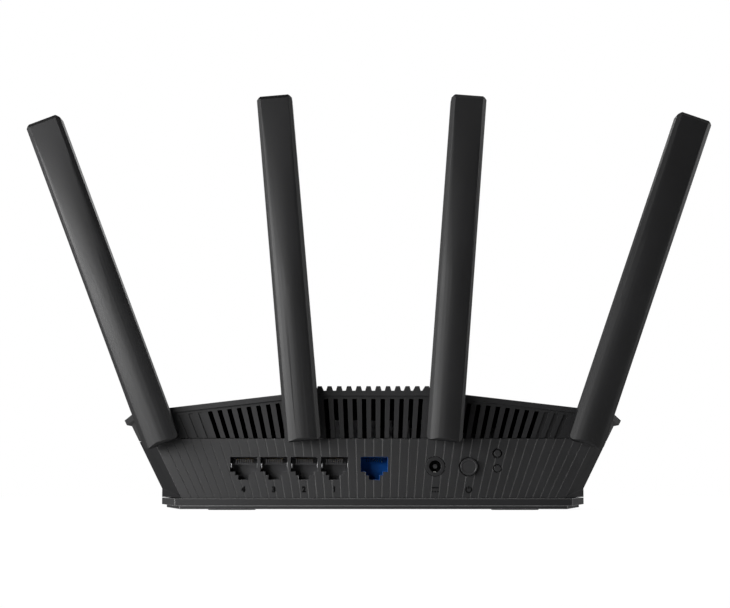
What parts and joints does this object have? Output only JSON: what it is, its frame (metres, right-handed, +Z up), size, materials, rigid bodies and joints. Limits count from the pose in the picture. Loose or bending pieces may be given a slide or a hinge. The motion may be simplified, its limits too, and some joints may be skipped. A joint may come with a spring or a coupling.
{
  "type": "wireless router",
  "caption": "Low six-sided network router with a slotted rear wall, network sockets, a barrel power inlet, press buttons and hinged paddle antennas.",
  "frame": {"origin": "on the underside of the base plate, halfway between the two keyholes, at the housing's widest depth; the rubber feet reach 0.5 mm lower", "axes": "+Z up, -Y towards the sockets, +X to the right of someone who looks at the sockets"},
  "size_m": [0.3167, 0.1526, 0.1917],
  "materials": {
    "housing_black": "fine moulded texture, satin black",
    "panel_black": "fine moulded texture, satin black, grooved",
    "antenna_black": "fine moulded texture, satin black",
    "feet_rubber": "matte black rubber",
    "screw_steel": "zinc plated steel",
    "board_green": "green solder mask",
    "chip_black": "moulded chip body",
    "pad_grey": "soft grey pad",
    "sink_aluminium": "extruded aluminium, black anodised",
    "pin_plastic": "white nylon",
    "shield_steel": "tinned sheet steel",
    "capacitor_can": "aluminium can",
    "contact_gold": "gold plated",
    "socket_black": "black moulded socket",
    "socket_blue": "blue moulded socket",
    "light_clear": "frosted clear plastic",
    "led_white": "white lamp body",
    "lead_black": "thin black coaxial lead",
    "button_black": "satin black"
  },
  "bodies": {
    "root": {"top_cover": "housing_black", "mid_case": "housing_black", "port_panel": "panel_black", "base": "housing_black", "rubber_feet": "feet_rubber", "case_screws": "screw_steel", "main_board": "board_green", "board_screws": "screw_steel", "main_chip": "chip_black", "memory_chips": "chip_black", "thermal_pad": "pad_grey", "heat_sink": "sink_aluminium", "heat_sink_pins": "pin_plastic", "radio_shields": "shield_steel", "line_transformers": "chip_black", "capacitors": "capacitor_can", "coax_plugs": "contact_gold", "lan_socket_block": "socket_black", "lan_socket_shield": "shield_steel", "lan_socket_contacts": "contact_gold", "wan_socket": "socket_blue", "wan_socket_shield": "shield_steel", "wan_socket_contacts": "contact_gold", "dc_inlet": "socket_black", "dc_inlet_pin": "shield_steel", "dc_inlet_spring": "shield_steel", "power_switch": "socket_black", "button_board": "board_green", "tact_switches": "socket_black", "light_guide": "light_clear", "status_leds": "led_white", "antenna_1_lead": "lead_black", "antenna_2_lead": "lead_black", "antenna_3_lead": "lead_black", "antenna_4_lead": "lead_black"},
    "antenna_1_hinge": {"antenna_1_knuckle": "antenna_black"},
    "antenna_1": {"antenna_1_shell": "antenna_black", "antenna_1_cover": "antenna_black", "antenna_1_board": "board_green", "antenna_1_pin": "screw_steel"},
    "antenna_2_hinge": {"antenna_2_knuckle": "antenna_black"},
    "antenna_2": {"antenna_2_shell": "antenna_black", "antenna_2_cover": "antenna_black", "antenna_2_board": "board_green", "antenna_2_pin": "screw_steel"},
    "antenna_3_hinge": {"antenna_3_knuckle": "antenna_black"},
    "antenna_3": {"antenna_3_shell": "antenna_black", "antenna_3_cover": "antenna_black", "antenna_3_board": "board_green", "antenna_3_pin": "screw_steel"},
    "antenna_4_hinge": {"antenna_4_knuckle": "antenna_black"},
    "antenna_4": {"antenna_4_shell": "antenna_black", "antenna_4_cover": "antenna_black", "antenna_4_board": "board_green", "antenna_4_pin": "screw_steel"},
    "power_button": {"power_button": "button_black", "power_plunger": "socket_black"},
    "wps_button": {"wps_button": "button_black"},
    "reset_button": {"reset_button": "button_black"}
  },
  "joints": [
    {"name": "antenna_1_swivel", "type": "hinge", "parent": "root", "child": "antenna_1_hinge", "pos_m": [-0.0992, -0.0745, 0.0372], "axis": [0, 1, 0], "range_deg": [-69.1, 32.9]},
    {"name": "antenna_1_tilt", "type": "hinge", "parent": "antenna_1_hinge", "child": "antenna_1", "pos_m": [-0.0992, -0.0745, 0.0372], "axis": [0.9342, 0, 0.3567], "range_deg": [0, 90]},
    {"name": "antenna_2_swivel", "type": "hinge", "parent": "root", "child": "antenna_2_hinge", "pos_m": [-0.0328, -0.0745, 0.0392], "axis": [0, 1, 0], "range_deg": [-30, 25]},
    {"name": "antenna_2_tilt", "type": "hinge", "parent": "antenna_2_hinge", "child": "antenna_2", "pos_m": [-0.0328, -0.0745, 0.0392], "axis": [0.9962, 0, 0.0872], "range_deg": [0, 90]},
    {"name": "antenna_3_swivel", "type": "hinge", "parent": "root", "child": "antenna_3_hinge", "pos_m": [0.0328, -0.0745, 0.0392], "axis": [0, 1, 0], "range_deg": [-24.4, 30.6]},
    {"name": "antenna_3_tilt", "type": "hinge", "parent": "antenna_3_hinge", "child": "antenna_3", "pos_m": [0.0328, -0.0745, 0.0392], "axis": [0.9971, 0, -0.0767], "range_deg": [0, 90]},
    {"name": "antenna_4_swivel", "type": "hinge", "parent": "root", "child": "antenna_4_hinge", "pos_m": [0.0992, -0.0745, 0.0372], "axis": [0, 1, 0], "range_deg": [-31.2, 70.8]},
    {"name": "antenna_4_tilt", "type": "hinge", "parent": "antenna_4_hinge", "child": "antenna_4", "pos_m": [0.0992, -0.0745, 0.0372], "axis": [0.9444, 0, -0.3289], "range_deg": [0, 90]},
    {"name": "power_button_press", "type": "slide", "parent": "root", "child": "power_button", "axis": [0, 1, 0], "range_m": [0, 0.002], "stiffness_N_per_m": 900},
    {"name": "wps_button_press", "type": "slide", "parent": "root", "child": "wps_button", "axis": [0, 1, 0], "range_m": [0, 0.0006], "stiffness_N_per_m": 1500},
    {"name": "reset_button_press", "type": "slide", "parent": "root", "child": "reset_button", "axis": [0, 1, 0], "range_m": [0, 0.0006], "stiffness_N_per_m": 1500}
  ]
}
